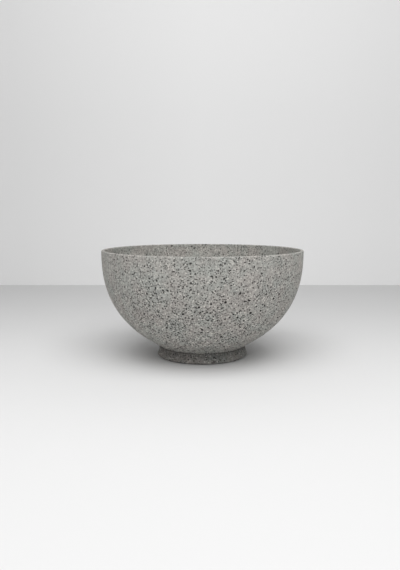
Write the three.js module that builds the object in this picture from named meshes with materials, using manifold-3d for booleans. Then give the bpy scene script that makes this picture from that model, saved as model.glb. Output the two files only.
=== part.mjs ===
// Round bowl planter in thin fibre-reinforced concrete. A wide bowl with a short straight band
// under its rim stands on a separate cast foot ring, bonded to it by a bed of mortar. The drain
// hole in the floor is closed by a rubber plug that lifts out, and four rubber pads under the
// ring keep the concrete off the floor.
//
// Millimetres, +Z up. The origin is on the floor, on the axis of the bowl.

import * as THREE from 'three';
import { mergeVertices } from 'three/addons/utils/BufferGeometryUtils.js';
import Module from 'manifold-3d';

// ---------- driving dimensions ----------

// Overall
const OUTER_DIAMETER = 600;    // across the rim
const HEIGHT = 320;            // from the floor to the rim, pads included

// Bowl. Below the band the outside is a superellipse, (r / R)^GIRTH + (depth / D)^SHOULDER = 1,
// that runs on straight below the heel
const BAND_HEIGHT = 11;        // straight part between the rim and the curve
const CURVE_END_HEIGHT = 8;    // height at which the curve would close on the axis
const SHOULDER = 2.29;         // exponent down the height; above 2 keeps the upper wall full
const GIRTH = 1.93;            // exponent across the radius
const HEEL_HEIGHT = 60;        // from here down to the base the outside is a straight cone
const RIM_WALL = 9;            // wall thickness at the rim
const BASE_WALL = 14;          // wall thickness at the base
const RIM_ROUND = 2;           // radius on both edges of the rim
const COVE_RADIUS = 60;        // inside, where the floor turns up into the wall

// Foot ring
const FOOT_HEIGHT = 28;        // the ring alone
const FOOT_WIDTH = 22;         // its top face, from bore to outside
const FOOT_FLARE = 6;          // how much further out the foot is at the bottom
const FLARE_HOLLOW = 2;        // exponent of the flare; above 1 makes it slightly concave
const BORE_DRAFT = 4;          // how much wider the bore is at the bottom
const FOOT_CHAMFER = 2;        // on both bottom edges
const BED_THICKNESS = 1.5;     // mortar between the ring and the bowl
const BED_SETBACK = 3;         // the mortar is raked out this far at both edges

// Drain and plug
const DRAIN_DIAMETER = 26;
const DRAIN_CHAMFER = 1.5;     // drip edge under the base
const PLUG_GAP = 0.4;          // between the plug's shank and the hole
const SHANK_LENGTH = 6;
const SHANK_TAPER = 1.2;       // how much smaller the radius is at the shank's end
const FLANGE_LAP = 6;          // how far the plug's flange lies over the hole's edge
const FLANGE_THICKNESS = 3;    // also the depth of its recess in the floor
const RECESS_GAP = 1;          // around the flange
const KNOB_DIAMETER = 16;
const KNOB_NECK_DIAMETER = 9;
const KNOB_NECK_HEIGHT = 4;
const KNOB_HEAD_HEIGHT = 6;

// Foot pads
const PAD_COUNT = 4;
const PAD_DIAMETER = 18;
const PAD_STAND = 2;           // what a pad shows under the ring
const PAD_POCKET_DEPTH = 1.5;
const PAD_GAP = 0.3;           // around a pad in its pocket
const PAD_ROUND = 0.6;         // on a pad's bottom edge
const FIRST_PAD_ANGLE = Math.PI / 4;

// Facets
const BOWL_FACETS = 72;        // round the axis, on the bowl, the mortar and the ring
const PLUG_FACETS = 36;
const PAD_FACETS = 24;
const OUTER_WALL_STEPS = 18;
const INNER_WALL_STEPS = 14;
const COVE_STEPS = 6;
const FLARE_STEPS = 5;
const ROUND_STEPS = 3;         // on each small rounded edge
const KNOB_STEPS = 6;

// ---------- levels and radii that follow from them ----------

const rimRadius = OUTER_DIAMETER / 2;
const bandBottom = HEIGHT - BAND_HEIGHT;
const curveDepth = bandBottom - CURVE_END_HEIGHT;
const ringBottom = PAD_STAND;
const ringTop = ringBottom + FOOT_HEIGHT;
const baseUnderside = ringTop + BED_THICKNESS;
const bowlFloor = baseUnderside + BASE_WALL;
const plugSeat = bowlFloor - FLANGE_THICKNESS;
const drainRadius = DRAIN_DIAMETER / 2;
const flangeRadius = drainRadius + FLANGE_LAP;
const recessRadius = flangeRadius + RECESS_GAP;

// Curve angle at which the outside of the wall comes down to a height.
function curveAngleAt(height) {
  const share = (bandBottom - height) / curveDepth;
  return Math.asin(Math.sqrt(share ** SHOULDER));
}

const heelAngle = curveAngleAt(Math.max(HEEL_HEIGHT, baseUnderside));
const heelDrop = Math.max(HEEL_HEIGHT, baseUnderside) - baseUnderside;
const baseAngle = heelAngle + heelDrop / wallNormal(heelAngle).x / rimRadius;
const baseRadius = wallOutside(baseAngle).x;

// ---------- outlines, as points (radius, height) that run with the solid on their left ----------

// Point on the outside of the wall. Angle 0 is the bottom of the band. Past the heel the wall
// keeps its direction, and the angle counts its length in rim radii.
function wallOutside(angle) {
  const curveAngle = Math.min(angle, heelAngle);
  const radius = rimRadius * Math.cos(curveAngle) ** (2 / GIRTH);
  const depth = curveDepth * Math.sin(curveAngle) ** (2 / SHOULDER);
  const normal = wallNormal(curveAngle);
  const straight = rimRadius * (angle - curveAngle);
  return new THREE.Vector2(radius + straight * normal.y, bandBottom - depth - straight * normal.x);
}

// Outward normal of the wall there: the gradient of the superellipse.
function wallNormal(angle) {
  const curveAngle = Math.min(angle, heelAngle);
  const across = GIRTH / rimRadius * Math.cos(curveAngle) ** (2 - 2 / GIRTH);
  const down = SHOULDER / curveDepth * Math.sin(curveAngle) ** (2 - 2 / SHOULDER);
  return new THREE.Vector2(across, -down).normalize();
}

// The wall thickens steadily from the rim to the base.
function wallThickness(angle) {
  return THREE.MathUtils.mapLinear(angle, 0, baseAngle, RIM_WALL, BASE_WALL);
}

// Point at a distance inside the inner face of the wall; distance 0 is on the face.
function wallInside(angle, distance = 0) {
  const inset = wallThickness(angle) + distance;
  return wallOutside(angle).addScaledVector(wallNormal(angle), -inset);
}

// Points of a circular arc from one angle to another, both ends included.
function arc(centreX, centreY, radius, fromAngle, toAngle, steps) {
  const points = [];
  for (let i = 0; i <= steps; i += 1) {
    const angle = THREE.MathUtils.lerp(fromAngle, toAngle, i / steps);
    points.push(new THREE.Vector2(
      centreX + radius * Math.cos(angle),
      centreY + radius * Math.sin(angle),
    ));
  }
  return points;
}

// Angle at which a ball of the cove's radius, rolling on the floor, touches the wall.
function coveAngle() {
  let high = 0;
  let low = baseAngle;
  for (let i = 0; i < 50; i += 1) {
    const middle = (high + low) / 2;
    const clearance = wallInside(middle, COVE_RADIUS).y - (bowlFloor + COVE_RADIUS);
    if (clearance > 0) {
      high = middle;
    } else {
      low = middle;
    }
  }
  return high;
}

function bowlOutline() {
  const points = [];
  // Outside, from the base up to the band
  for (let i = OUTER_WALL_STEPS; i >= 0; i -= 1) {
    points.push(wallOutside(baseAngle * i / OUTER_WALL_STEPS));
  }
  // Rim, with a round on each edge
  const roundCentre = HEIGHT - RIM_ROUND;
  points.push(...arc(rimRadius - RIM_ROUND, roundCentre, RIM_ROUND, 0, Math.PI / 2, ROUND_STEPS));
  const innerRound = rimRadius - RIM_WALL + RIM_ROUND;
  points.push(...arc(innerRound, roundCentre, RIM_ROUND, Math.PI / 2, Math.PI, ROUND_STEPS));
  // Inside, down to the cove
  const touch = coveAngle();
  for (let i = 0; i < INNER_WALL_STEPS; i += 1) {
    points.push(wallInside(touch * i / INNER_WALL_STEPS));
  }
  // Cove, from the wall round to the flat floor
  const centre = wallInside(touch, COVE_RADIUS);
  const wallSide = wallNormal(touch).angle() - 2 * Math.PI;
  points.push(...arc(centre.x, centre.y, COVE_RADIUS, wallSide, -Math.PI / 2, COVE_STEPS));
  // Recess for the plug's flange, then the drain hole with its drip edge
  points.push(
    new THREE.Vector2(recessRadius, bowlFloor),
    new THREE.Vector2(recessRadius, plugSeat),
    new THREE.Vector2(drainRadius, plugSeat),
    new THREE.Vector2(drainRadius, baseUnderside + DRAIN_CHAMFER),
    new THREE.Vector2(drainRadius + DRAIN_CHAMFER, baseUnderside),
  );
  return points;
}

const ringInner = baseRadius - FOOT_WIDTH;
const ringOuterBottom = baseRadius + FOOT_FLARE;
const ringInnerBottom = ringInner + BORE_DRAFT;

function ringOutline() {
  const chamferTop = ringBottom + FOOT_CHAMFER;
  const points = [
    new THREE.Vector2(ringInnerBottom, chamferTop),
    new THREE.Vector2(ringInnerBottom + FOOT_CHAMFER, ringBottom),
    new THREE.Vector2(ringOuterBottom - FOOT_CHAMFER, ringBottom),
  ];
  // Flared outside, flush with the bowl at the top
  for (let i = 0; i <= FLARE_STEPS; i += 1) {
    const share = i / FLARE_STEPS;
    const radius = baseRadius + FOOT_FLARE * (1 - share) ** FLARE_HOLLOW;
    points.push(new THREE.Vector2(radius, THREE.MathUtils.lerp(chamferTop, ringTop, share)));
  }
  points.push(new THREE.Vector2(ringInner, ringTop));
  return points;
}

function bedOutline() {
  const inner = ringInner + BED_SETBACK;
  const outer = baseRadius - BED_SETBACK;
  return [
    new THREE.Vector2(inner, ringTop),
    new THREE.Vector2(outer, ringTop),
    new THREE.Vector2(outer, baseUnderside),
    new THREE.Vector2(inner, baseUnderside),
  ];
}

// The plug, from the axis under its shank to the axis on top of its knob.
function plugOutline() {
  const shankRadius = drainRadius - PLUG_GAP;
  const neckRadius = KNOB_NECK_DIAMETER / 2;
  const knobRadius = KNOB_DIAMETER / 2;
  const headBottom = bowlFloor + KNOB_NECK_HEIGHT;
  const points = [
    new THREE.Vector2(0, plugSeat - SHANK_LENGTH),
    new THREE.Vector2(shankRadius - SHANK_TAPER, plugSeat - SHANK_LENGTH),
    new THREE.Vector2(shankRadius, plugSeat),
    new THREE.Vector2(flangeRadius, plugSeat),
    new THREE.Vector2(flangeRadius, bowlFloor),
    new THREE.Vector2(neckRadius, bowlFloor),
    new THREE.Vector2(neckRadius, headBottom),
  ];
  // Domed head, half an ellipse standing on a flat underside
  for (let i = 0; i < KNOB_STEPS; i += 1) {
    const angle = Math.PI / 2 * i / KNOB_STEPS;
    const radius = knobRadius * Math.cos(angle);
    points.push(new THREE.Vector2(radius, headBottom + KNOB_HEAD_HEIGHT * Math.sin(angle)));
  }
  points.push(new THREE.Vector2(0, headBottom + KNOB_HEAD_HEIGHT));
  return points;
}

// A pad, from the middle of its underside on the floor to the middle of its top in the pocket.
function padOutline() {
  const radius = PAD_DIAMETER / 2;
  return [
    new THREE.Vector2(0, 0),
    ...arc(radius - PAD_ROUND, PAD_ROUND, PAD_ROUND, -Math.PI / 2, 0, ROUND_STEPS),
    new THREE.Vector2(radius, ringBottom + PAD_POCKET_DEPTH),
    new THREE.Vector2(0, ringBottom + PAD_POCKET_DEPTH),
  ];
}

// ---------- solids ----------

// Turns an outline round the Z axis into a closed solid. An outline that stays off the axis
// is closed on itself and makes a ring.
function revolve(outline, facets) {
  const points = [...outline];
  if (points[0].x > 0) {
    points.push(points[0].clone());
  }
  const turned = new THREE.LatheGeometry(points, facets);
  turned.rotateX(Math.PI / 2);
  turned.deleteAttribute('normal');
  turned.deleteAttribute('uv');
  return mergeVertices(turned);
}

const wasm = await Module();
wasm.setup();

function toManifold(geometry) {
  return new wasm.Manifold(new wasm.Mesh({
    numProp: 3,
    vertProperties: geometry.attributes.position.array,
    triVerts: new Uint32Array(geometry.index.array),
  }));
}

function fromManifold(solid) {
  const mesh = solid.getMesh();
  const geometry = new THREE.BufferGeometry();
  geometry.setAttribute('position', new THREE.BufferAttribute(mesh.vertProperties, 3));
  geometry.setIndex(new THREE.BufferAttribute(mesh.triVerts, 1));
  return geometry;
}

const padCircle = (ringInnerBottom + ringOuterBottom) / 2;

// Where pad number i stands under the ring.
function padPlace(i) {
  const angle = FIRST_PAD_ANGLE + 2 * Math.PI * i / PAD_COUNT;
  return [padCircle * Math.cos(angle), padCircle * Math.sin(angle), 0];
}

// The foot ring with a shallow round pocket for each pad.
function ringSolid() {
  let ring = toManifold(revolve(ringOutline(), BOWL_FACETS));
  const pocketRadius = PAD_DIAMETER / 2 + PAD_GAP;
  const pocketOutline = [
    new THREE.Vector2(0, 0),
    new THREE.Vector2(pocketRadius, 0),
    new THREE.Vector2(pocketRadius, ringBottom + PAD_POCKET_DEPTH),
    new THREE.Vector2(0, ringBottom + PAD_POCKET_DEPTH),
  ];
  for (let i = 0; i < PAD_COUNT; i += 1) {
    const pocket = revolve(pocketOutline, PAD_FACETS).translate(...padPlace(i));
    ring = ring.subtract(toManifold(pocket));
  }
  return fromManifold(ring);
}

// ---------- finishes ----------

const castConcrete = { color: 0x9b9894, roughness: 0.9, metalness: 0 };
const footConcrete = { color: 0x8f8c88, roughness: 0.92, metalness: 0 };
const mortar = { color: 0x85827d, roughness: 0.95, metalness: 0 };
const blackRubber = { color: 0x262626, roughness: 0.7, metalness: 0 };

function piece(name, geometry, finish) {
  const mesh = new THREE.Mesh(geometry, new THREE.MeshStandardMaterial(finish));
  mesh.name = name;
  return mesh;
}

// ---------- assembly ----------

const planter = new THREE.Group();
planter.add(
  piece('bowl_shell', revolve(bowlOutline(), BOWL_FACETS), castConcrete),
  piece('mortar_bed', revolve(bedOutline(), BOWL_FACETS), mortar),
  piece('foot_ring', ringSolid(), footConcrete),
  piece('drain_plug', revolve(plugOutline(), PLUG_FACETS), blackRubber),
);
for (let i = 0; i < PAD_COUNT; i += 1) {
  const pad = piece(`foot_pad_${i + 1}`, revolve(padOutline(), PAD_FACETS), blackRubber);
  pad.position.set(...padPlace(i));
  planter.add(pad);
}

export default planter;
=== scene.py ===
"""A round bowl planter in thin fibre-reinforced concrete, seen as in the photograph.

Metres, in the frame of the CAD model: +Z up, the origin on the floor under the bowl. The concrete
pieces are surfaces of revolution whose skin is worked out here with every open air pit in it.
"""

import bpy
import numpy as np
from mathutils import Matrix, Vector
from mathutils.geometry import delaunay_2d_cdt


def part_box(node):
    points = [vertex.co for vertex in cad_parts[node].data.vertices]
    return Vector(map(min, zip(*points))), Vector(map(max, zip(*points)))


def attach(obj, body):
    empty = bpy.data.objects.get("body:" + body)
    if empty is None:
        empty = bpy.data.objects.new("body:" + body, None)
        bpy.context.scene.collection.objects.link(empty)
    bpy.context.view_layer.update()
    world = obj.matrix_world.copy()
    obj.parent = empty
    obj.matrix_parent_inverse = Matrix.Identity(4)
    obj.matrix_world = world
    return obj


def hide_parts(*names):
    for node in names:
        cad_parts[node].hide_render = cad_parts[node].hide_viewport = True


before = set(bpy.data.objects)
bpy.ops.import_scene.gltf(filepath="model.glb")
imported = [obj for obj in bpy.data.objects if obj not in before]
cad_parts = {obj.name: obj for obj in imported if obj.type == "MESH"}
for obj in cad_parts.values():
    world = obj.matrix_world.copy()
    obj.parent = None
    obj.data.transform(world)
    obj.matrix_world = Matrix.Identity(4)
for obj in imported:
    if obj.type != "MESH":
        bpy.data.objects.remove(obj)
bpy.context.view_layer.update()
MM = 0.001

# ---------------------------------------------------------------- camera
# The photograph looks a little down on the planter from in front. Its height, distance and tilt
# come from the ellipses of the rim and the foot; the bowl stands just right of the middle.

rim_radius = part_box("bowl_shell")[1].x
CAMERA_DISTANCE = 5.574 * rim_radius
CAMERA_HEIGHT = 1.426 * rim_radius
CAMERA_TILT = np.radians(7.36)
AXIS_OFF_CENTRE_PX = 2.4
FOCAL_PX = 555.6
LONG_SIDE_PX = 570
SENSOR_MM = 36.0


def in_scene(name, data):
    """The object that shows a camera, mesh or lamp, at the origin of the scene."""
    obj = bpy.data.objects.new(name, data)
    bpy.context.scene.collection.objects.link(obj)
    return obj


camera_data = bpy.data.cameras.new("photo_camera")
camera_data.sensor_width = SENSOR_MM
camera_data.lens = FOCAL_PX / LONG_SIDE_PX * SENSOR_MM
camera = in_scene("photo_camera", camera_data)
camera.location = (-AXIS_OFF_CENTRE_PX / FOCAL_PX * CAMERA_DISTANCE, -CAMERA_DISTANCE, CAMERA_HEIGHT)
camera.rotation_euler = (np.pi / 2 - CAMERA_TILT, 0, 0)
bpy.context.scene.camera = camera

# ---------------------------------------------------------------- bowl shell
# The cast bowl: one continuous wall of grey fibre-reinforced concrete, 9 mm at the rim and 14 mm
# in the base, with a short straight band under the rim and a drain hole in the floor. Air caught
# against the mould leaves open pits of about 3 to 9 mm all over it, and the rim's edges are nicked.

BAND_HEIGHT = 11 * MM
CURVE_END_HEIGHT = 8 * MM  # where the curve alone would reach the axis
SHOULDER = 2.29            # how squarely the curve leaves the band
GIRTH = 1.93               # how full it is further down
HEEL_HEIGHT = 60 * MM      # from here down the wall is a straight cone
RIM_WALL = 9 * MM
BASE_WALL = 14 * MM
RIM_ROUND = 2 * MM
COVE_RADIUS = 60 * MM
RECESS_RADIUS = 20 * MM
RECESS_DEPTH = 3 * MM
DRAIN_RADIUS = 13 * MM
DRAIN_CHAMFER = 1.5 * MM

base_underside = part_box("bowl_shell")[0].z
rim_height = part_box("bowl_shell")[1].z
bowl_floor = base_underside + BASE_WALL
band_bottom = rim_height - BAND_HEIGHT
curve_depth = band_bottom - CURVE_END_HEIGHT
heel_angle = np.arcsin(np.sqrt(((band_bottom - HEEL_HEIGHT) / curve_depth) ** SHOULDER))


def wall_normal(angle):
    """Gradient of the wall's superellipse, (r/R)^girth + (depth/D)^shoulder, as a unit vector. Past
    the heel's angle it stays as it is."""
    bend = np.minimum(angle, heel_angle)
    across = GIRTH / rim_radius * np.cos(bend) ** (2 - 2 / GIRTH)
    down = SHOULDER / curve_depth * np.sin(bend) ** (2 - 2 / SHOULDER)
    return np.stack([across, -down], -1) / np.hypot(across, down)[..., None]


def wall_point(angle):
    """Outside of the wall: radius R cos(a)^(2/girth), depth D sin(a)^(2/shoulder) below the band.
    Past the heel's angle it runs on straight, and the angle counts its length in rim radii."""
    bend = np.minimum(angle, heel_angle)
    radius = rim_radius * np.cos(bend) ** (2 / GIRTH)
    curve = np.stack([radius, band_bottom - curve_depth * np.sin(bend) ** (2 / SHOULDER)], -1)
    down_wall = wall_normal(angle)[..., ::-1] * [1, -1]
    return curve + rim_radius * np.asarray(angle - bend)[..., None] * down_wall


heel_drop = HEEL_HEIGHT - base_underside
base_angle = heel_angle + heel_drop / wall_normal(heel_angle)[0] / rim_radius


def wall_inside(angle, distance=0.0):
    """The wall's outside moved in by its thickness, which grows evenly from the rim to the base."""
    inset = RIM_WALL + (BASE_WALL - RIM_WALL) * angle / base_angle + distance
    return wall_point(angle) - wall_normal(angle) * np.asarray(inset)[..., None]


def arc(centre, radius, start, stop, steps):
    """Points of a circular arc, both ends included."""
    angle = np.linspace(start, stop, steps + 1)
    return np.stack([centre[0] + radius * np.cos(angle), centre[1] + radius * np.sin(angle)], -1)


def even_steps(curve, spacing):
    """Points at even distances along a curve, which may be as little as the two ends of a line."""
    curve = np.asarray(curve, float)
    length = np.concatenate([[0], np.cumsum(np.linalg.norm(np.diff(curve, axis=0), axis=1))])
    wanted = np.linspace(0, length[-1], max(1, int(round(length[-1] / spacing))) + 1)
    return np.stack([np.interp(wanted, length, curve[:, k]) for k in range(2)], -1)


class Outline:
    """Closed half section of a turned piece as rows of (radius, height), the solid on the left of
    the way they run. Each row has the spacing of its points round the axis, and a crease row keeps
    its edge when the skin is meshed."""

    def __init__(self):
        self.rows, self.spacing, self.crease = [], [], []

    def add(self, points, spacing, crease=False):
        for point in points:
            if self.rows and np.linalg.norm(self.rows[-1] - point) < 1e-7:
                self.spacing[-1] = min(self.spacing[-1], spacing)
                self.crease[-1] = self.crease[-1] or crease
            else:
                self.rows.append(np.asarray(point, float))
                self.spacing.append(spacing)
                self.crease.append(crease)

    def close(self):
        """Ends on the first row, with the same points, so that the seam welds. Works out the
        distance along the rows and their place on a map on which angles are true: x is the angle
        round the axis and y the sum of ds / r, so that a round pit stays round."""
        self.crease[0] = True
        self.rows.append(self.rows[0])
        self.spacing.append(self.spacing[0])
        self.crease.append(True)
        self.rows = np.array(self.rows)
        step = np.linalg.norm(np.diff(self.rows, axis=0), axis=1)
        middle = (self.rows[1:, 0] + self.rows[:-1, 0]) / 2
        self.along = np.concatenate([[0], np.cumsum(step)])
        self.chart = np.concatenate([[0], np.cumsum(step / middle)])
        # the skin's outward normal, to the right of the way the rows run
        way = np.gradient(self.rows, self.along, axis=0)
        self.normal = np.stack([way[:, 1], -way[:, 0]], -1) / np.hypot(way[:, 0], way[:, 1])[:, None]

    def at(self, distance):
        """Radius, height, and the two parts of the normal, at a distance along the rows."""
        columns = (self.rows[:, 0], self.rows[:, 1], self.normal[:, 0], self.normal[:, 1])
        return [np.interp(distance, self.along, column) for column in columns]


WAVES = 14
WAVE_SUM = 4  # their sum divided by this is about -1 to 1


def slow_waves(place, wavelength, seed):
    """A smooth random field, about -1 to 1: the sum of plane waves of one length in all ways."""
    rng = np.random.default_rng(seed)
    way = rng.normal(size=(WAVES, 3))
    way *= 2 * np.pi / wavelength / np.linalg.norm(way, axis=1)[:, None]
    phase = rng.uniform(0, 2 * np.pi, WAVES)
    return np.sin(place @ way.T + phase).sum(1) / WAVE_SUM


PIT_LAND = 0.35 * MM       # least skin left between two pits
PIT_REACH = 1.15           # how far an uneven pit may reach, in radii
CREASE_REACH = 1.3         # the same towards a crease of the outline
PIT_DEPTH = (0.75, 1.15)   # depth in radii, before the wide pits are made flatter
DEPTH_KEPT = 1.15          # a pit keeps this share of it, less its radius over the next length,
PIT_FLATTENS = 12 * MM     # but no more than all and no less than the flattest
FLATTEST = 0.5


def on_rings(radius, turn, height):
    """Points (r cos t, r sin t, z) on rings round the axis."""
    return np.stack([radius * np.cos(turn), radius * np.sin(turn), height], -1)


def strew_pits(outline, zones, crowding, seed):
    """Pits strewn over zones of the outline (from, to, how many tries, smallest and largest radius,
    how much small ones prevail), largest first and none touching another."""
    rng = np.random.default_rng(seed)
    found = []
    for start, stop, tries, low, high, prevail in zones:
        along = rng.uniform(start, stop, tries)
        # as many on each square metre: fewer tries stay where the rows are short
        along = along[rng.uniform(0, outline.rows[:, 0].max(), tries) < outline.at(along)[0]]
        theta = rng.uniform(0, 2 * np.pi, len(along))
        radius = low * (high / low) ** (rng.uniform(0, 1, len(along)) ** prevail)
        ring, height = outline.at(along)[:2]
        kept = rng.uniform(0, 1, len(along)) < crowding(on_rings(ring, theta, height))
        found.append(np.stack([theta, along, radius])[:, kept])
    found = np.concatenate(found, 1)
    found = found[:, np.argsort(-found[2], kind="stable")]
    theta, along, radius = found
    ring, height = outline.at(along)[:2]
    place = on_rings(ring, theta, height)
    # only pits in the same or neighbouring cells of a cubic grid can touch
    cell = 2.5 * radius.max()
    cells, taken = {}, []
    for i, (a, b, c) in enumerate(np.floor(place / cell).astype(int)):
        near = [
            j
            for x in (a - 1, a, a + 1)
            for y in (b - 1, b, b + 1)
            for z in (c - 1, c, c + 1)
            for j in cells.get((x, y, z), ())
        ]
        gap = np.linalg.norm(place[near] - place[i], axis=1) - PIT_REACH * (radius[near] + radius[i])
        if near and gap.min() < PIT_LAND:
            continue
        cells.setdefault((a, b, c), []).append(i)
        taken.append(i)
    found = found[:, taken]
    to_crease = np.abs(found[1][:, None] - outline.along[outline.crease]).min(1)
    theta, along, radius = found[:, to_crease > CREASE_REACH * found[2] + PIT_LAND]
    flatter = np.clip(DEPTH_KEPT - radius / PIT_FLATTENS, FLATTEST, 1)
    depth = radius * rng.uniform(*PIT_DEPTH, len(radius)) * flatter
    return {"theta": theta, "along": along, "radius": radius, "depth": depth}


PIT_KINDS = [              # radius up to, points round, and rings as shares of radius and of depth
    (2.1 * MM, 6, [(1.0, 0.0), (0.76, 0.7)]),
    (3.4 * MM, 8, [(1.0, 0.0), (0.8, 0.65)]),
    (9.0 * MM, 12, [(1.0, 0.0), (0.9, 0.5), (0.55, 0.9)]),
]
PIT_SQUEEZE = (0.7, 1.0)   # width over length
PIT_WAVES = (0.06, 0.05)   # swings of the radius, two and three to a turn
PIT_UNEVEN = (0.94, 1.0)   # radius of each point round a pit, as a share


def pit_rings(outline, pits):
    """Points of every pit on the map, their depths, and the edges of their rings. A ring is a
    circle squeezed one way, with two slow waves and a little unevenness on it."""
    points, depths, edges, count, smallest = [], [], [], 0, 0.0
    for largest, sides, rings in PIT_KINDS:
        kind = (pits["radius"] > smallest) & (pits["radius"] <= largest)
        smallest = largest
        theta, along, radius, depth = (pits[k][kind][:, None] for k in ("theta", "along", "radius", "depth"))
        number = len(theta)
        rng = np.random.default_rng(sides + len(rings))
        turn, phase_2, phase_3 = rng.uniform(0, 2 * np.pi, (3, number, 1))
        squeeze = rng.uniform(*PIT_SQUEEZE, (number, 1))
        round_angle = 2 * np.pi * (np.arange(sides) + rng.uniform(0, 1, (number, 1))) / sides
        wave = 1 + PIT_WAVES[0] * np.cos(2 * round_angle + phase_2)
        wave = wave + PIT_WAVES[1] * np.cos(3 * round_angle + phase_3)
        wave = wave * rng.uniform(*PIT_UNEVEN, (number, sides))
        long_way, short_way = wave * np.cos(round_angle), wave * np.sin(round_angle) * squeeze
        across = radius * (long_way * np.cos(turn) - short_way * np.sin(turn))
        up = radius * (long_way * np.sin(turn) + short_way * np.cos(turn))
        for share, deep in rings + [(0.0, 1.0)]:
            width = sides if share else 1
            x = theta + share * across[:, :width] / outline.at(along)[0]
            y = np.interp(along + share * up[:, :width], outline.along, outline.chart)
            points.append(np.stack([x, y], -1).reshape(-1, 2))
            depths.append(np.repeat(deep * depth, width))
            if share:
                ids = count + np.arange(number * width).reshape(number, width)
                edges.append(np.stack([ids, np.roll(ids, -1, 1)], -1).reshape(-1, 2))
            count += number * width
    return np.concatenate(points), np.concatenate(depths), np.concatenate(edges)


LEAST_ROUND = 24       # points in the smallest row
ROW_UNEVEN = 0.13      # how far a point is moved along its row, as a share of the spacing
CREASE_UNEVEN = 0.04


def row_points(outline, keep_out, seed):
    """Points of the plain skin on the map, row by row, without those that keep_out(points) names,
    and the edges of the crease rows. The points are a little uneven along their rows, so that no
    column of them shows, but the last row's are the first row's. Returns the two rows' points too,
    which are welded."""
    rng = np.random.default_rng(seed)
    points, edges, count = [], [], 0
    rows = zip(outline.chart, outline.rows[:, 0], outline.spacing, outline.crease)
    for y, radius, spacing, crease in rows:
        number = max(LEAST_ROUND, int(round(2 * np.pi * radius / spacing)))
        if crease:
            shift = rng.uniform(-CREASE_UNEVEN, CREASE_UNEVEN, number)
        else:
            shift = rng.uniform(0, 1) + rng.uniform(-ROW_UNEVEN, ROW_UNEVEN, number)
        x = (np.arange(number) + shift) * 2 * np.pi / number
        if y == outline.chart[-1]:
            x = points[0][:, 0]
        points.append(np.stack([x, np.full(number, y)], -1))
        if crease:
            ids = count + np.arange(number)
            edges.append(np.stack([ids, np.roll(ids, -1)], -1))
        count += number
    points, edges = np.concatenate(points), np.concatenate(edges)
    kept = ~keep_out(points)
    kept[edges] = True
    new_id = np.cumsum(kept) - 1
    ends = len(edges) and (new_id[:len(x)], new_id[-len(x):])
    return points[kept], new_id[edges], ends


CLEAR_SHARE = 1.25         # the plain grid stops this many radii from a pit's middle,
CLEAR_MARGIN = 0.6 * MM    # and this much further
BATCH = 400


def off_pits(outline, pits):
    """Tells which points of the map lie in a pit or close to its edge, a batch of pits at a time."""
    pit_y = np.interp(pits["along"], outline.along, outline.chart)
    reach = (CLEAR_SHARE * pits["radius"] + CLEAR_MARGIN) / outline.at(pits["along"])[0]

    def keep_out(points):
        inside = np.zeros(len(points), bool)
        for start in range(0, len(reach), BATCH):
            part = slice(start, start + BATCH)
            dx = (points[:, :1] - pits["theta"][part] + np.pi) % (2 * np.pi) - np.pi
            inside |= (np.hypot(dx, points[:, 1:] - pit_y[part]) < reach[part]).any(1)
        return inside

    return keep_out


def join_round(points, edges):
    """Delaunay triangles of points on the map, kept to the given edges, over the join at a full
    turn: the map is repeated a little past both ends, and each triangle is taken once."""
    turn, margin = 2 * np.pi, 0.4
    x = points[:, 0] % turn
    copies = [np.arange(len(x)), np.flatnonzero(x < margin), np.flatnonzero(x > turn - margin)]
    shifts = [0, 1, -1]
    index = np.full((3, len(x)), -1)
    total = 0
    for k, ids in enumerate(copies):
        index[k, ids] = total + np.arange(len(ids))
        total += len(ids)
    source = np.concatenate(copies)
    shift = np.repeat(shifts, [len(ids) for ids in copies])
    spread = np.stack([x[source] + turn * shift, points[source, 1]], -1)
    hop = -np.round((x[edges[:, 1]] - x[edges[:, 0]]) / turn).astype(int)
    kept = []
    for k in shifts:
        other = k + hop
        possible = np.abs(other) <= 1
        a, b = index[k, edges[possible, 0]], index[other[possible], edges[possible, 1]]
        kept.append(np.stack([a, b], -1)[(a >= 0) & (b >= 0)])
    whole_hull, tolerance, with_origins = 0, 1e-9, True
    _, _, triangles, origins, _, _ = delaunay_2d_cdt(
        [Vector(p) for p in spread], np.concatenate(kept).tolist(), [], whole_hull, tolerance, with_origins
    )
    first = np.array([ids[0] if ids else -1 for ids in origins])
    faces = first[np.array(triangles)]
    faces = faces[(faces >= 0).all(1)]
    middle = spread[faces, 0].mean(1)
    faces = faces[(middle >= 0) & (middle < turn)]
    return source[faces]


CAST_SHARP_ANGLE = np.radians(38)  # an edge that turns more than this is drawn sharp
DARK_DEPTH = 1.6 * MM              # a pit this deep is as dark at its bottom as any


def mesh_object(name, points, faces, pit):
    """Makes the object, with how dark each point of a pit is, 0 to 1, as the attribute "pit"."""
    mesh = bpy.data.meshes.new(name)
    mesh.vertices.add(len(points))
    mesh.vertices.foreach_set("co", points.astype(np.float32).ravel())
    mesh.loops.add(faces.size)
    mesh.loops.foreach_set("vertex_index", faces.astype(np.int32).ravel())
    mesh.polygons.add(len(faces))
    mesh.polygons.foreach_set("loop_start", np.arange(0, faces.size, faces.shape[1], dtype=np.int32))
    mesh.polygons.foreach_set("use_smooth", np.ones(len(faces), bool))
    mesh.update(calc_edges=True)
    mesh.attributes.new("pit", "FLOAT", "POINT").data.foreach_set("value", pit.astype(np.float32))
    mesh.set_sharp_from_angle(angle=CAST_SHARP_ANGLE)
    return in_scene(name, mesh)


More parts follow.
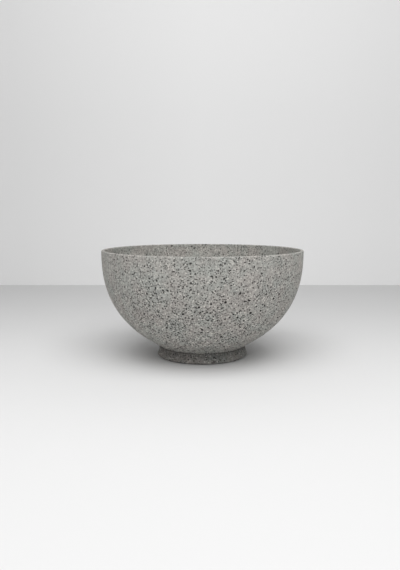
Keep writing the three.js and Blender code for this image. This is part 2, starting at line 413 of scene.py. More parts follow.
def turned_skin(name, outline, pits, unevenness, seed, sockets=None):
    """Meshes a turned piece. Each point of the map goes to its row's circle and is moved in, along
    the skin's normal, by its pit's depth and by unevenness(angle, distance along, place). Sockets
    are more points, depths and edges on the map, and a test of which points they leave out."""
    in_pit = off_pits(outline, pits)
    in_socket = sockets[3] if sockets else lambda points: np.zeros(len(points), bool)
    plain, creases, ends = row_points(outline, lambda points: in_pit(points) | in_socket(points), seed)
    rings, pit_depth, ring_edges = pit_rings(outline, pits)
    points, depth = np.concatenate([plain, rings]), np.concatenate([np.zeros(len(plain)), pit_depth])
    edges = np.concatenate([creases, ring_edges + len(plain)])
    if sockets:
        edges = np.concatenate([edges, sockets[2] + len(points)])
        points, depth = np.concatenate([points, sockets[0]]), np.concatenate([depth, sockets[1]])
    faces = join_round(points, edges)
    weld = np.arange(len(points))
    weld[ends[1]] = ends[0]
    faces = weld[faces]
    theta, along = points[:, 0], np.interp(points[:, 1], outline.chart, outline.along)
    radius, height, out, up = outline.at(along)
    inset = depth + unevenness(theta, along, on_rings(radius, theta, height))
    place = on_rings(radius - out * inset, theta, height - up * inset)
    used, faces = np.unique(faces, return_inverse=True)
    # how far each point is darkened, with dust and painted shade, deeper in a pit
    pit = np.clip(depth / DARK_DEPTH, 0, 1)
    return mesh_object(name, place[used], faces.reshape(-1, 3), pit[used])


# where the wall's inside meets the rolled cove of the floor, found by halving
high, low = 0.0, base_angle
for _ in range(50):
    middle = (high + low) / 2
    clear = wall_inside(middle, COVE_RADIUS)[1] > bowl_floor + COVE_RADIUS
    high, low = (middle, low) if clear else (high, middle)
cove_angle = high
cove_centre = wall_inside(cove_angle, COVE_RADIUS)
cove_start = np.arctan2(*wall_normal(cove_angle)[::-1])

OUTER_GRID = 8 * MM
INNER_GRID = 8.5 * MM
RIM_GRID = 3 * MM
FLAT_GRID = 12 * MM
DRAIN_GRID = 2.5 * MM
RIM_STEPS = 4
COVE_STEPS = 8

# the shell's outline: outside up to the rim, over it, down the inside, and back under the base
angle_steps = np.linspace(0, 1, 400)
outer_rows = even_steps(wall_point(base_angle * angle_steps[::-1]), OUTER_GRID)
base_edge = outer_rows[0]
inner_start = rim_radius - RIM_WALL + RIM_ROUND
round_height = rim_height - RIM_ROUND
round_foot = rim_height - 2.2 * RIM_ROUND
recess_floor = bowl_floor - RECESS_DEPTH
drain_mouth = (DRAIN_RADIUS + DRAIN_CHAMFER, base_underside)

shell = Outline()
shell.add(outer_rows, OUTER_GRID)
shell.add([(rim_radius, round_foot)], RIM_GRID)
shell.add(arc((rim_radius - RIM_ROUND, round_height), RIM_ROUND, 0, np.pi / 2, RIM_STEPS), RIM_GRID)
shell.add(arc((inner_start, round_height), RIM_ROUND, np.pi / 2, np.pi, RIM_STEPS), RIM_GRID)
shell.add([(rim_radius - RIM_WALL, round_foot)], RIM_GRID)
shell.add(even_steps(wall_inside(cove_angle * angle_steps), INNER_GRID), INNER_GRID)
shell.add(arc(cove_centre, COVE_RADIUS, cove_start, -np.pi / 2, COVE_STEPS), INNER_GRID)
shell.add(even_steps([(cove_centre[0], bowl_floor), (RECESS_RADIUS, bowl_floor)], FLAT_GRID), FLAT_GRID)
shell.add([
    (RECESS_RADIUS, bowl_floor), (RECESS_RADIUS, recess_floor), (DRAIN_RADIUS, recess_floor),
    (DRAIN_RADIUS, base_underside + DRAIN_CHAMFER), drain_mouth,
], DRAIN_GRID, crease=True)
shell.add(even_steps([drain_mouth, base_edge], FLAT_GRID)[1:-1], FLAT_GRID)
shell.close()

# distances along the outline between which the pits of a zone lie
RIM_ZONE = 3 * RIM_ROUND
row_z = shell.rows[:, 1]
outer_end = shell.along[np.argmax(row_z > rim_height - RIM_ZONE)]
inner_first = np.flatnonzero((shell.rows[:, 0] < inner_start) & (row_z < rim_height - RIM_ZONE))[0]
floor_last = np.flatnonzero(np.isclose(row_z, bowl_floor))[-2]
inner_begin, floor_end = shell.along[inner_first], shell.along[floor_last]
lower_end = shell.along[np.argmax(row_z > 3 * HEEL_HEIGHT)]

# larger stones just under the skin
PEBBLES = 220
PEBBLE_SIZES = (6, 14)  # in mm
pebble_rng = np.random.default_rng(11)
pebble_turn = pebble_rng.uniform(0, 2 * np.pi, PEBBLES)
pebble_radius, pebble_height = shell.at(pebble_rng.uniform(0, floor_end, PEBBLES))[:2]
pebble_place = on_rings(pebble_radius, pebble_turn, pebble_height)
pebble_size = pebble_rng.uniform(*PEBBLE_SIZES, PEBBLES) * MM

BUSY = 0.56                # share of the tries that leave a pit, on average,
BUSY_LEAST = 0.06          # and in the calmest patch
BUSY_WAVES = [(0.26, 90 * MM, 1), (0.22, 34 * MM, 2)]  # swing, length and seed of its waves
BUSY_HEEL = 0.4            # what the heel adds; it fades out at twice the heel's height
STONE_FACE = 0.75          # a stone's bare face and the end of its ring of air, in sizes
STONE_RING = 1.25
STONE_BUSY = 0.15          # how much of the pits is left on the face


def crowding(place):
    """How thickly pits stand: slow waves make calm and busy patches, each larger stone under the
    skin has a ring of trapped air round it and few pits over it, and the heel is crowded."""
    busy = np.full(len(place), BUSY)
    for swing, length, seed in BUSY_WAVES:
        busy += swing * slow_waves(place, length, seed)
    busy += BUSY_HEEL * np.clip(2 - place[:, 2] / HEEL_HEIGHT, 0, 1)
    near = (np.linalg.norm(place[:, None] - pebble_place, axis=2) / pebble_size).min(1)
    busy = np.where(near < STONE_FACE, STONE_BUSY * busy, busy)
    ring = (near >= STONE_FACE) & (near < STONE_RING)
    return np.where(ring, 1.0, np.clip(busy, BUSY_LEAST, 1))


shell_pits = strew_pits(
    shell,
    [
        (6 * MM, outer_end, 220, 3.4 * MM, 4.3 * MM, 1.6),
        (4 * MM, outer_end, 2500, 2.1 * MM, 3.4 * MM, 1.4),
        (4 * MM, lower_end, 950, 2.2 * MM, 3.6 * MM, 1.2),
        (3 * MM, outer_end, 6800, 1.35 * MM, 2.1 * MM, 1.0),
        (inner_begin, floor_end, 130, 3.4 * MM, 4.4 * MM, 2.0),
        (inner_begin, floor_end, 1200, 2.1 * MM, 3.4 * MM, 1.6),
        (inner_begin, floor_end, 2500, 1.35 * MM, 2.1 * MM, 1.0),
    ],
    crowding,
    seed=3,
)

NICKS = 70
NICK_HALF_LENGTHS = (2.0, 5.5)  # in mm, like the depths
NICK_DEPTHS = (0.25, 0.9)
NICK_HALF_WIDTH = 2.2 * MM
NICKS_OUTSIDE = 0.6        # share of them on the outer edge
nick_rng = np.random.default_rng(5)
nick_turn = nick_rng.uniform(0, 2 * np.pi, NICKS)
nick_half = nick_rng.uniform(*NICK_HALF_LENGTHS, NICKS) * MM / rim_radius
nick_depth = nick_rng.uniform(*NICK_DEPTHS, NICKS) * MM
nick_along = np.where(
    nick_rng.uniform(size=NICKS) < NICKS_OUTSIDE,
    shell.along[np.argmax(row_z > rim_height - RIM_ROUND)],
    shell.along[inner_first] - RIM_ZONE,
)
CAST_WAVES = [(0.16 * MM, 150 * MM, 8), (0.05 * MM, 25 * MM, 9)]  # height, length and seed


def shell_unevenness(theta, along, place):
    """The cast wall waves by a few tenths of a millimetre, and the rim's edges have small nicks:
    each is a rounded dip a few millimetres long, centred on one of the two edges."""
    wave = sum(height * (1 + slow_waves(place, length, seed)) for height, length, seed in CAST_WAVES)
    wave = np.clip(wave, 0, None)
    skin = (along > 1 * MM) & (along < floor_end)
    dip = np.zeros(len(theta))
    rim = np.abs(place[:, 2] - rim_height) < RIM_ZONE
    turn = (theta[rim, None] - nick_turn + np.pi) % (2 * np.pi) - np.pi
    across = np.hypot(turn / nick_half, (along[rim, None] - nick_along) / NICK_HALF_WIDTH)
    dip[rim] = (nick_depth * np.clip(1 - across**2, 0, None)).max(1)
    return np.where(skin, wave * (1 - rim), 0) + dip


bowl = turned_skin("bowl_shell_cast", shell, shell_pits, shell_unevenness, 4)


class Finish:
    """A node material built step by step. Patterns read the object's own coordinates, in metres."""

    def __init__(self, name):
        self.material = bpy.data.materials.new(name)
        self.material.use_nodes = True
        self.nodes = self.material.node_tree.nodes
        self.links = self.material.node_tree.links
        self.shader = self.nodes["Principled BSDF"]
        self.place = self.nodes.new("ShaderNodeTexCoord").outputs["Object"]

    def noise(self, size, detail, roughness=0.5):
        """Noise with its largest features about one size long."""
        node = self.nodes.new("ShaderNodeTexNoise")
        node.inputs["Scale"].default_value = 1 / size
        node.inputs["Detail"].default_value = detail
        node.inputs["Roughness"].default_value = roughness
        self.links.new(self.place, node.inputs["Vector"])
        return node.outputs["Fac"]

    def grains(self, size, share):
        """Grains in a share of cells one size wide: 1 in a grain, 0 outside. Their outlines are
        uneven, because the place is first pushed about by noise, up to a third of the size. A grain
        fades out between inner and outer, counted in cells from its middle."""
        inner, outer, soft = 0.28, 0.4, 0.02
        noise = self.nodes.new("ShaderNodeTexNoise")
        noise.inputs["Scale"].default_value = 2 / size
        self.links.new(self.place, noise.inputs["Vector"])
        push = self.nodes.new("ShaderNodeVectorMath")
        push.operation = "MULTIPLY_ADD"
        push.inputs[1].default_value = (size / 3, size / 3, size / 3)
        self.links.new(noise.outputs["Color"], push.inputs[0])
        self.links.new(self.place, push.inputs[2])
        cells = self.nodes.new("ShaderNodeTexVoronoi")
        cells.inputs["Scale"].default_value = 1 / size
        self.links.new(push.outputs[0], cells.inputs["Vector"])
        pick = self.ramp(cells.outputs["Color"], share + soft, share, 0, 1)
        return self.math("MULTIPLY", self.ramp(cells.outputs["Distance"], outer, inner, 0, 1), pick)

    def height(self):
        """Height above the floor, in metres."""
        node = self.nodes.new("ShaderNodeSeparateXYZ")
        self.links.new(self.place, node.inputs[0])
        return node.outputs["Z"]

    def attribute(self, name):
        """A value that the mesh carries at its points."""
        node = self.nodes.new("ShaderNodeAttribute")
        node.attribute_name = name
        return node.outputs["Fac"]

    def ramp(self, source, low, high, out_low, out_high):
        """Straight change from one pair of values to another, held at both ends."""
        node = self.nodes.new("ShaderNodeMapRange")
        values = {"From Min": low, "From Max": high, "To Min": out_low, "To Max": out_high}
        for key, value in values.items():
            node.inputs[key].default_value = value
        self.links.new(source, node.inputs["Value"])
        return node.outputs["Result"]

    def math(self, operation, *sources):
        """Sum, product and the like of sockets and plain numbers."""
        node = self.nodes.new("ShaderNodeMath")
        node.operation = operation
        for socket, source in zip(node.inputs, sources):
            if isinstance(source, (int, float)):
                socket.default_value = source
            else:
                self.links.new(source, socket)
        return node.outputs[0]

    def mix(self, share, first, second, blend="MIX"):
        """Blend of two colours, each a socket or (red, green, blue)."""
        node = self.nodes.new("ShaderNodeMix")
        node.data_type = "RGBA"
        node.blend_type = blend
        sockets = (node.inputs[0], node.inputs[6], node.inputs[7])
        for socket, source in zip(sockets, (share, first, second)):
            if isinstance(source, bpy.types.NodeSocket):
                self.links.new(source, socket)
            else:
                socket.default_value = (*source, 1) if isinstance(source, tuple) else source
        return node.outputs[2]

    def times(self, colour, value):
        """The colour made as many times as bright as the value says."""
        node = self.nodes.new("ShaderNodeCombineColor")
        for socket in node.inputs:
            self.links.new(value, socket)
        return self.mix(1.0, colour, node.outputs[0], "MULTIPLY")

    def bump(self, height, distance):
        """Relief as deep as the distance, in metres, for a height that goes from 0 to 1."""
        node = self.nodes.new("ShaderNodeBump")
        node.inputs["Distance"].default_value = distance
        node.inputs["Strength"].default_value = 1
        self.links.new(height, node.inputs["Height"])
        self.links.new(node.outputs["Normal"], self.shader.inputs["Normal"])

    def to_shader(self, **sources):
        """Links values to the shader's sockets, named with underscores."""
        for key, source in sources.items():
            self.links.new(source, self.shader.inputs[key.replace("_", " ").title()])


def linear(*srgb):
    """Linear colour of one written as 0 to 255: the standard curve of screens, undone."""
    c = np.array(srgb) / 255
    return tuple(np.where(c < 0.04045, c / 12.92, ((c + 0.055) / 1.055) ** 2.4).tolist())


CLOUD_SIZE = 48 * MM
MOTTLE_SIZE, MOTTLE_SWING = 5.5 * MM, (-0.34, 0.3)
GRAIN_SIZE, GRAIN_SWING = 3.4 * MM, (-0.3, 0.26)
LIGHT_SAND = (5.2 * MM, 0.4, 0.62)   # size, share of the cells that have a grain, and how strong
DARK_SAND = (5.5 * MM, 0.34, 0.95)
# Hair pits are painted shade: dark dots, in the dark sand's colour, for pits too fine for the mesh.
HAIR_PIT_SHADE = (4.0 * MM, 0.42, 0.85)
PATCH_SIZE = 24 * MM
PATCH_SAND = (0.4, 1.3)              # how much dark sand shows in calm and busy patches
# Painted shade and highlight: sand and pits are painted stronger at the downward-facing heel, whose soft
# light leaves them unshaded, and weaker at the rim.
PAINTED_PIT_SHADING = (0.82, 1.55)                 # how much sand and pits show at the rim and at the heel
PIT_SHADE = 0.82                     # how far a pit's bottom goes towards the colour of pits
CONCRETE_RELIEF = 0.7 * MM
light_sand_colour = linear(232, 228, 220)
dark_sand_colour = linear(56, 54, 52)
# The colour of dust and painted shade at the bottom of pits.
pit_dust_and_shade_colour = linear(48, 46, 45)


def concrete(name, warm, cool, contrast, painted_shade):
    """Grey concrete: warm and cool clouds, cement mottling and grain, light and dark sand, hair
    pits too fine for the mesh painted as dark dots of painted shade, and the mesh's own pits darkened
    towards their bottom with dust and painted shade. Dark sand and hair pits come in calm and busy
    patches. All of them are painted stronger towards the heel and weaker at the rim, as painted shade
    and highlight: the heel faces down into soft light that leaves its pits unshaded, and the lamp
    already shades the pits near the rim. The last argument is (from height, to height, how bright it
    leaves the concrete): painted shade, darker towards where the bowl and the foot meet."""
    finish = Finish(name)
    clouds = finish.ramp(finish.noise(CLOUD_SIZE, 3, 0.55), 0.38, 0.62, 0, 1)
    colour = finish.mix(clouds, warm, cool)
    swing = [1 + share * contrast for share in MOTTLE_SWING]
    mottle = finish.ramp(finish.noise(MOTTLE_SIZE, 3, 0.6), 0.3, 0.7, *swing)
    swing = [1 + share * contrast for share in GRAIN_SWING]
    grain = finish.ramp(finish.noise(GRAIN_SIZE, 3, 0.7), 0.25, 0.75, *swing)
    colour = finish.times(finish.times(colour, mottle), grain)

    # painted shade and highlight of sand and pits, stronger towards the heel
    painted_pit_shading = finish.ramp(finish.height(), rim_height, HEEL_HEIGHT, *PAINTED_PIT_SHADING)
    light_sand_and_highlight, dark_sand, hair_pit_shade = (
        finish.math("MULTIPLY", finish.grains(size, share), strength * contrast)
        for size, share, strength in (LIGHT_SAND, DARK_SAND, HAIR_PIT_SHADE)
    )
    # light sand, plus painted highlight beside the pits that grows towards the heel
    light_sand_and_highlight = finish.math("MINIMUM", finish.math("MULTIPLY", light_sand_and_highlight, painted_pit_shading), 1)
    colour = finish.mix(light_sand_and_highlight, colour, light_sand_colour)
    patches = finish.ramp(finish.noise(PATCH_SIZE, 2, 0.5), 0.36, 0.58, *PATCH_SAND)
    # dark sand, together with the painted shade of hair pits
    dark = finish.math("MULTIPLY", finish.math("MAXIMUM", dark_sand, hair_pit_shade), painted_pit_shading)
    dark = finish.math("MULTIPLY", dark, patches)
    colour = finish.mix(finish.math("MINIMUM", dark, 1), colour, dark_sand_colour)
    # pit bottoms darkened by depth, with dust and painted shade
    pit = finish.math("MULTIPLY", finish.attribute("pit"), finish.math("MULTIPLY", painted_pit_shading, PIT_SHADE))
    colour = finish.mix(finish.math("MINIMUM", pit, 1), colour, pit_dust_and_shade_colour)

    # painted shade: darker towards where the bowl and the foot meet
    shade_from, shade_to, shade_grey = painted_shade
    colour = finish.times(colour, finish.ramp(finish.height(), shade_from, shade_to, 1, shade_grey))
    relief = finish.math("SUBTRACT", finish.math("MULTIPLY", mottle, 0.8), dark)
    relief = finish.math("ADD", relief, finish.math("MULTIPLY", grain, 0.5))
    finish.bump(relief, CONCRETE_RELIEF)
    finish.shader.inputs["Specular IOR Level"].default_value = 0.3
    finish.to_shader(base_color=colour, roughness=finish.ramp(grain, 0.8, 1.2, 0.94, 0.84))
    return finish.material


cast_concrete = concrete(
    "cast_concrete",
    warm=linear(174, 170, 165),
    cool=linear(169, 170, 165),
    contrast=1.0,
    # painted shade on the heel, darker down towards the foot
    painted_shade=(HEEL_HEIGHT, base_underside, 0.96),
)
bowl.data.materials.append(cast_concrete)
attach(bowl, "planter")
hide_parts("bowl_shell")

# ---------------------------------------------------------------- foot ring
# A separate cast ring in the same concrete, flared outwards to the floor; its colour is painted
# darker, as painted shade under the bowl. The bowl is bedded on its flat top; four shallow
# pockets in its underside take the rubber pads.

FOOT_WIDTH = 22 * MM
FOOT_FLARE = 6 * MM
FLARE_HOLLOW = 2           # power by which the flare dies out towards the top
BORE_DRAFT = 4 * MM
FOOT_CHAMFER = 2 * MM
PAD_RADIUS = 9 * MM
PAD_POCKET_DEPTH = 1.5 * MM
PAD_GAP = 0.3 * MM
PAD_COUNT = 4
FOOT_GRID = 5 * MM
FOOT_EDGE_GRID = 3 * MM

foot_bottom, foot_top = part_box("foot_ring")[0].z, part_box("foot_ring")[1].z
base_radius = wall_point(base_angle)[0]
foot_bore = base_radius - FOOT_WIDTH
foot_edge = base_radius + FOOT_FLARE
chamfer_top = foot_bottom + FOOT_CHAMFER
bore_foot = (foot_bore + BORE_DRAFT, chamfer_top)
flare = np.linspace(0, 1, 40)
flare_curve = np.stack([
    base_radius + FOOT_FLARE * (1 - flare) ** FLARE_HOLLOW,
    chamfer_top + (foot_top - chamfer_top) * flare,
], -1)

foot = Outline()
foot.add([bore_foot], FOOT_EDGE_GRID, crease=True)
bottom_line = [(foot_bore + BORE_DRAFT + FOOT_CHAMFER, foot_bottom), (foot_edge - FOOT_CHAMFER, foot_bottom)]
foot.add(even_steps(bottom_line, FOOT_GRID), FOOT_EDGE_GRID)
foot.add([(foot_edge, chamfer_top)], FOOT_EDGE_GRID)
foot.add(even_steps(flare_curve, FOOT_GRID)[1:], FOOT_EDGE_GRID)
foot.add([(base_radius, foot_top)], FOOT_EDGE_GRID, crease=True)
foot.add(even_steps([(base_radius, foot_top), (foot_bore, foot_top)], FOOT_GRID), FOOT_GRID)
foot.add([(foot_bore, foot_top)], FOOT_EDGE_GRID, crease=True)
foot.add(even_steps([(foot_bore, foot_top), bore_foot], FOOT_GRID)[1:-1], FOOT_EDGE_GRID)
foot.close()

flat_end = foot.along[np.argmax(foot.rows[:, 0] > foot_edge - FOOT_CHAMFER - MM)]
flare_end = foot.along[np.argmax(foot.rows[:, 1] > foot_top - MM)]
pad_circle = (foot_bore + BORE_DRAFT + foot_edge) / 2
pad_angle = np.pi / 4 + 2 * np.pi * np.arange(PAD_COUNT) / PAD_COUNT
pad_place = pad_circle * np.stack([np.cos(pad_angle), np.sin(pad_angle)], -1)

POCKET_SIDES = 40
POCKET_DRAFT = 0.05 * MM
POCKET_MARGIN = 1.2 * MM   # the plain grid stops this far outside a pocket


def pad_pockets():
    """Round pockets in the foot's flat underside: a ring of points at the pocket's true radius on
    the surface and two more inside it at full depth, set out on the floor plane and carried back
    to the map. Returns their points, depths and edges, and a test of which points are in one."""
    angle = 2 * np.pi * np.arange(POCKET_SIDES) / POCKET_SIDES
    circle = np.stack([np.cos(angle), np.sin(angle)], -1)
    pocket = PAD_RADIUS + PAD_GAP
    rings = [(pocket, 0), (pocket - POCKET_DRAFT, PAD_POCKET_DEPTH), (pocket / 2, PAD_POCKET_DEPTH)]
    points, depths, edges = [], [], []
    for place in pad_place:
        for radius, depth in rings:
            flat = place + radius * circle
            reach = np.hypot(*flat.T)
            y = np.interp(reach - foot.rows[1, 0] + foot.along[1], foot.along, foot.chart)
            ids = len(points) * POCKET_SIDES + np.arange(POCKET_SIDES)
            edges.append(np.stack([ids, np.roll(ids, -1)], -1))
            points.append(np.stack([np.arctan2(flat[:, 1], flat[:, 0]), y], -1))
            depths.append(np.full(POCKET_SIDES, depth))
    underside_end = np.interp(flat_end + 3 * MM, foot.along, foot.chart)

    def keep_out(points):
        radius = foot.at(np.interp(points[:, 1], foot.chart, foot.along))[0]
        flat = radius[:, None] * np.stack([np.cos(points[:, 0]), np.sin(points[:, 0])], -1)
        under = (points[:, 1] > foot.chart[0]) & (points[:, 1] < underside_end)
        away = np.linalg.norm(flat[:, None] - pad_place, axis=2).min(1)
        return under & (away < pocket + POCKET_MARGIN)

    return np.concatenate(points), np.concatenate(depths), np.concatenate(edges), keep_out


foot_pits = strew_pits(
    foot,
    [
        (flat_end, flare_end, 30, 2.1 * MM, 3.0 * MM, 1.8),
        (flat_end, flare_end, 260, 1.35 * MM, 2.1 * MM, 1.0),
    ],
    crowding,
    seed=21,
)
FLARE_WAVE = 0.08 * MM
FLARE_WAVELENGTH = 40 * MM


def foot_unevenness(theta, along, place):
    """The flare waves by a tenth or two of a millimetre; the flat faces stay true."""
    flare_part = (along > flat_end) & (along < flare_end - MM)
    return np.where(flare_part, FLARE_WAVE * (1 + slow_waves(place, FLARE_WAVELENGTH, 12)).clip(0), 0)


foot_ring = turned_skin("foot_ring_cast", foot, foot_pits, foot_unevenness, 22, pad_pockets())
# the bowl's concrete painted darker, as painted shade under the bowl, and with less contrast
foot_concrete = concrete(
    "foot_concrete",
    warm=linear(149, 144, 140),
    cool=linear(143, 144, 140),
    contrast=0.58,
    # painted shade under the bowl: darker towards the foot's top
    painted_shade=(foot_bottom + 8 * MM, foot_top - 4 * MM, 0.7),
)
foot_ring.data.materials.append(foot_concrete)
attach(foot_ring, "planter")
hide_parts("foot_ring")

# ---------------------------------------------------------------- mortar bed
# The thin bed of cement mortar that bonds the bowl to the foot ring. It is raked back 3 mm from
# both edges, with the crumbly surface that the raking leaves, so the joint shows as a dark line.

BED_SETBACK = 3 * MM
BED_GRID = 2.2 * MM
BED_FLAT_GRID = 4 * MM
BED_EDGE_STEP = 0.5 * MM
BED_CRUMBLE = [(0.45 * MM, 9 * MM, 31), (0.2 * MM, 3 * MM, 32)]  # depth, length and seed of waves

bed_inner, bed_outer = foot_bore + BED_SETBACK, base_radius - BED_SETBACK
bed_corners = [
    (bed_inner, foot_top), (bed_outer, foot_top),
    (bed_outer, base_underside), (bed_inner, base_underside),
]
bed = Outline()
for side, corner in enumerate(bed_corners):
    across_bed = side % 2 == 0
    step, spacing = (BED_FLAT_GRID, BED_FLAT_GRID) if across_bed else (BED_EDGE_STEP, BED_GRID)
    bed.add([corner], BED_GRID, crease=True)
    bed.add(even_steps([corner, bed_corners[(side + 1) % 4]], step)[1:-1], spacing)
bed.close()
no_pits = {key: np.zeros(0) for key in ("theta", "along", "radius", "depth")}


def raked_edge(theta, along, place):
    """Both edges crumble in by up to a millimetre; the bedded faces stay flat."""
    reach = np.hypot(place[:, 0], place[:, 1])
    free = (place[:, 2] > foot_top + 0.01 * MM) & (place[:, 2] < base_underside - 0.01 * MM)
    at_edge = (reach > bed_outer - MM) | (reach < bed_inner + MM)
    crumble = sum(
        depth * (1 + slow_waves(place, length, seed)).clip(0) for depth, length, seed in BED_CRUMBLE
    )
    return np.where(free & at_edge, crumble, 0)


mortar_bed = turned_skin("mortar_bed_raked", bed, no_pits, raked_edge, 33)
mortar = Finish("mortar")
mortar_sand = mortar.ramp(mortar.noise(1.4 * MM, 4, 0.7), 0.3, 0.7, 0.7, 1.2)
mortar_clouds = mortar.ramp(mortar.noise(14 * MM, 3), 0.4, 0.6, 0, 1)
mortar_colour = mortar.mix(mortar_clouds, linear(140, 136, 129), linear(122, 121, 116))
mortar.bump(mortar_sand, 0.4 * MM)
mortar.shader.inputs["Specular IOR Level"].default_value = 0.25
mortar.to_shader(
    base_color=mortar.times(mortar_colour, mortar_sand),
    roughness=mortar.ramp(mortar_sand, 0.7, 1.2, 0.97, 0.88),
)
mortar_bed.data.materials.append(mortar.material)
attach(mortar_bed, "planter")
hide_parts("mortar_bed")

# ---------------------------------------------------------------- drain plug
# A loose moulded rubber plug: a tapered shank in the drain hole, a flange let into the floor, and
# a small domed knob to pull it out by. Cement dust greys the rubber where it is not handled.

PLUG_GAP = 0.4 * MM
SHANK_LENGTH = 6 * MM
SHANK_TAPER = 1.2 * MM
FLANGE_RADIUS = 19 * MM
KNOB_RADIUS = 8 * MM
KNOB_NECK_RADIUS = 4.5 * MM
KNOB_NECK_HEIGHT = 4 * MM
KNOB_HEAD_HEIGHT = 6 * MM
PLUG_SIDES = 96
MOULDED_SHARP_ANGLE = np.radians(35)


def rounded(corners, radii, steps=5):
    """An open outline with its inner corners rounded: each corner becomes an arc that touches both
    of its lines at the distance radius x tan(turn / 2) from it."""
    corners = np.asarray(corners, float)
    result = [corners[:1]]
    for before, corner, after, radius in zip(corners, corners[1:], corners[2:], radii):
        a = (before - corner) / np.linalg.norm(before - corner)
        b = (after - corner) / np.linalg.norm(after - corner)
        half = np.arccos(np.clip(a @ b, -1, 1)) / 2
        if radius == 0 or abs(half - np.pi / 2) < 1e-3:
            result.append([corner])
            continue
        centre = corner + (a + b) / np.linalg.norm(a + b) * radius / np.sin(half)
        start, stop = corner + a * radius / np.tan(half), corner + b * radius / np.tan(half)
        share = np.linspace(0, 1, steps + 1)[:, None]
        spoke = (1 - share) * (start - centre) + share * (stop - centre)
        result.append(centre + radius * spoke / np.linalg.norm(spoke, axis=1)[:, None])
    result.append(corners[-1:])
    return np.concatenate(result)


def lathe(name, outline, sides, centre=(0, 0)):
    """Turns an outline that starts and ends on the axis: a grid of rings by angle, (r cos t,
    r sin t, z), closed by one point at each end."""
    rings = outline[1:-1]
    turn = 2 * np.pi * np.arange(sides) / sides
    body = on_rings(rings[:, :1], turn, np.repeat(rings[:, 1:], sides, 1)).reshape(-1, 3)
    ends = [[0, 0, outline[0, 1]], [0, 0, outline[-1, 1]]]
    points = np.concatenate([body, ends]) + [*centre, 0]
    here = np.arange(len(rings) * sides).reshape(len(rings), sides)
    beside = np.roll(here, -1, 1)
    quads = np.stack([here[:-1], beside[:-1], beside[1:], here[1:]], -1).reshape(-1, 4)
    first = np.stack([beside[0], here[0], np.full(sides, len(body))], -1)
    last = np.stack([here[-1], beside[-1], np.full(sides, len(body) + 1)], -1)
    mesh = bpy.data.meshes.new(name)
    mesh.from_pydata(points.tolist(), [], quads.tolist() + first.tolist() + last.tolist())
    mesh.shade_smooth()
    mesh.set_sharp_from_angle(angle=MOULDED_SHARP_ANGLE)
    return in_scene(name, mesh)


shank_radius = DRAIN_RADIUS - PLUG_GAP
knob_bottom = bowl_floor + KNOB_NECK_HEIGHT
dome_angle = np.linspace(0, np.pi / 2, 14)
dome = np.stack([KNOB_RADIUS * np.cos(dome_angle), knob_bottom + KNOB_HEAD_HEIGHT * np.sin(dome_angle)], -1)
plug_corners = [
    (0, recess_floor - SHANK_LENGTH), (shank_radius - SHANK_TAPER, recess_floor - SHANK_LENGTH),
    (shank_radius, recess_floor), (FLANGE_RADIUS, recess_floor), (FLANGE_RADIUS, bowl_floor),
    (KNOB_NECK_RADIUS, bowl_floor), (KNOB_NECK_RADIUS, knob_bottom), (KNOB_RADIUS, knob_bottom), dome[1],
]
plug_radii = np.array([0.6, 0, 0.4, 0.6, 0, 0, 0.35]) * MM
plug_outline = np.concatenate([rounded(plug_corners, plug_radii)[:-1], dome[1:]])
plug = lathe("drain_plug_moulded", plug_outline, PLUG_SIDES)

MOULD_GRAIN = 0.5 * MM
MOULD_RELIEF = 0.12 * MM
BLOOM_SIZE = 9 * MM
cement_dust = linear(128, 125, 120)


def rubber(name, dust_share):
    """Moulded black rubber: fine mould grain, a faint bloom in clouds, and pale cement dust."""
    finish = Finish(name)
    grain = finish.noise(MOULD_GRAIN, 3, 0.6)
    clouds = finish.noise(BLOOM_SIZE, 4, 0.6)
    colour = finish.mix(finish.ramp(clouds, 0.35, 0.65, 0, 1), linear(38, 38, 39), linear(52, 51, 50))
    dust = finish.ramp(finish.math("MULTIPLY", clouds, grain), 0.2, 0.42, 0, dust_share)
    colour = finish.mix(dust, colour, cement_dust)
    finish.bump(finish.math("ADD", grain, finish.math("MULTIPLY", clouds, 0.4)), MOULD_RELIEF)
    finish.to_shader(base_color=colour, roughness=finish.ramp(clouds, 0.3, 0.7, 0.52, 0.72))
    return finish.material


plug.data.materials.append(rubber("plug_rubber", dust_share=0.25))
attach(plug, "plug")
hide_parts("drain_plug")

# ---------------------------------------------------------------- foot pads
# Four round pads of black rubber, pressed into the pockets under the foot ring. They carry the
# planter and hold the concrete 2 mm off the floor.

PAD_SIDES = 48
PAD_ROUND = 0.6 * MM

pad_rubber = rubber("pad_rubber", dust_share=0.45)
pad_top = foot_bottom + PAD_POCKET_DEPTH
pad_corners = [
    (0, 0), (PAD_RADIUS / 2, 0), (PAD_RADIUS, 0),
    (PAD_RADIUS, pad_top), (PAD_RADIUS / 2, pad_top), (0, pad_top),
]
pad_outline = rounded(pad_corners, np.array([0, 1, 0.5, 0]) * PAD_ROUND)
for number, place in enumerate(pad_place, 1):
    pad = lathe(f"foot_pad_{number}_moulded", pad_outline, PAD_SIDES, place)
    pad.data.materials.append(pad_rubber)
    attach(pad, "planter")
    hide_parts(f"foot_pad_{number}")

# ---------------------------------------------------------------- floor, wall and light
# A pale studio: a floor that is brightest near the camera and a lighter wall behind it, both
# with painted light graded into their greys, one very large soft lamp above and in front, and an
# even sky that fills the shade. The camera sees the sky as a grey of its own.

WALL_Y = 1.64
WALL_HEIGHT = 6
STUDIO_HALF = 9.0
SOFTBOX_SIZE = (3.2, 2.8)
SOFTBOX_WATTS = 84
SOFTBOX_PLACE = (0.15, -1.4, 2.65)
SOFTBOX_TILT = np.radians(31)
SKY_STRENGTH = 0.35
SKY_SEEN = 222


def panel(name, corners):
    """A flat four-cornered panel."""
    mesh = bpy.data.meshes.new(name)
    mesh.from_pydata(corners, [], [(0, 1, 2, 3)])
    obj = in_scene(name, mesh)
    return obj


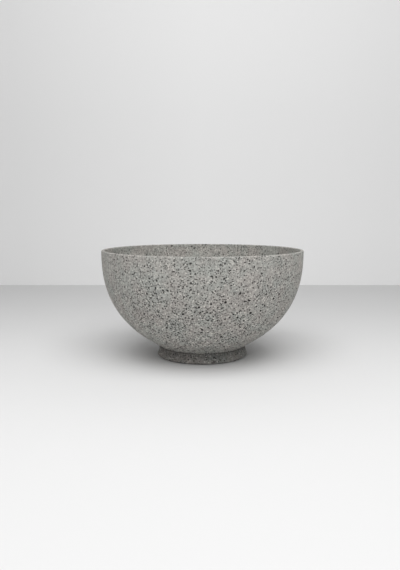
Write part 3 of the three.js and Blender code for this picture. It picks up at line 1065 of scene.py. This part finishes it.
def grey_along(finish, axis, stops):
    """Greys, written as 0 to 255, at stops along one of the object's axes, straight in between."""
    split = finish.nodes.new("ShaderNodeSeparateXYZ")
    finish.links.new(finish.place, split.inputs[0])
    spread = finish.ramp(split.outputs[axis], stops[0][0], stops[-1][0], 0, 1)
    ramp = finish.nodes.new("ShaderNodeValToRGB")
    for place, grey in stops:
        share = (place - stops[0][0]) / (stops[-1][0] - stops[0][0])
        ends = {0: ramp.color_ramp.elements[0], 1: ramp.color_ramp.elements[-1]}
        stop = ends.get(share) or ramp.color_ramp.elements.new(share)
        stop.color = (*linear(*([grey] * 3)), 1)
    finish.links.new(spread, ramp.inputs[0])
    return ramp.outputs[0]


def backdrop_painted_light(name, axis, stops, across):
    """Matt paint with painted light: greys along one axis, dimmed a little by other greys from left to right.
    """
    finish = Finish(name)
    colour = finish.mix(1.0, grey_along(finish, axis, stops), grey_along(finish, 0, across), "MULTIPLY")
    finish.shader.inputs["Specular IOR Level"].default_value = 0
    finish.shader.inputs["Roughness"].default_value = 1
    finish.to_shader(base_color=colour)
    return finish.material


w, y, h = STUDIO_HALF, WALL_Y, WALL_HEIGHT
floor = panel("studio_floor", [(-w, -w, 0), (w, -w, 0), (w, w, 0), (-w, w, 0)])
# painted light: lighter towards the camera and darker away from it, a little darker at the sides
floor_painted_light_greys = [
    (-0.7, 230), (-0.5, 229), (-0.36, 227.5), (-0.19, 225.5), (0.04, 222),
    (0.34, 217.5), (0.65, 213.5), (0.9, 211), (1.34, 209.5), (1.64, 210.5),
]
floor.data.materials.append(backdrop_painted_light("floor_with_painted_light", 1, floor_painted_light_greys, [(-1, 254), (0, 255), (1, 253)]))
wall = panel("studio_wall", [(-w, y, 0), (w, y, 0), (w, y, h), (-w, y, h)])
# painted light: lighter low down and in the middle, darker to the left than to the right
wall_painted_light_greys = [(0, 248), (0.15, 246.5), (0.33, 245), (0.5, 243), (0.68, 241), (0.85, 239.5), (1, 238.5)]
wall.data.materials.append(backdrop_painted_light("wall_with_painted_light", 2, wall_painted_light_greys, [(-1.07, 247.5), (0, 255), (1.07, 252)]))

softbox_data = bpy.data.lights.new("softbox", "AREA")
softbox_data.shape = "RECTANGLE"
softbox_data.size, softbox_data.size_y = SOFTBOX_SIZE
softbox_data.energy = SOFTBOX_WATTS
softbox = in_scene("softbox", softbox_data)
softbox.location = SOFTBOX_PLACE
softbox.rotation_euler = (SOFTBOX_TILT, 0, 0)

world = bpy.data.worlds.new("studio_sky")
world.use_nodes = True
bpy.context.scene.world = world
tree = world.node_tree
sky = tree.nodes["Background"]
sky.inputs["Color"].default_value = (1, 1, 1, 1)
sky.inputs["Strength"].default_value = SKY_STRENGTH
seen = tree.nodes.new("ShaderNodeBackground")
seen.inputs["Color"].default_value = (*linear(SKY_SEEN, SKY_SEEN, SKY_SEEN), 1)
path = tree.nodes.new("ShaderNodeLightPath")
choice = tree.nodes.new("ShaderNodeMixShader")
tree.links.new(path.outputs["Is Camera Ray"], choice.inputs[0])
tree.links.new(sky.outputs[0], choice.inputs[1])
tree.links.new(seen.outputs[0], choice.inputs[2])
tree.links.new(choice.outputs[0], tree.nodes["World Output"].inputs["Surface"])

bpy.context.scene.view_settings.view_transform = "Standard"
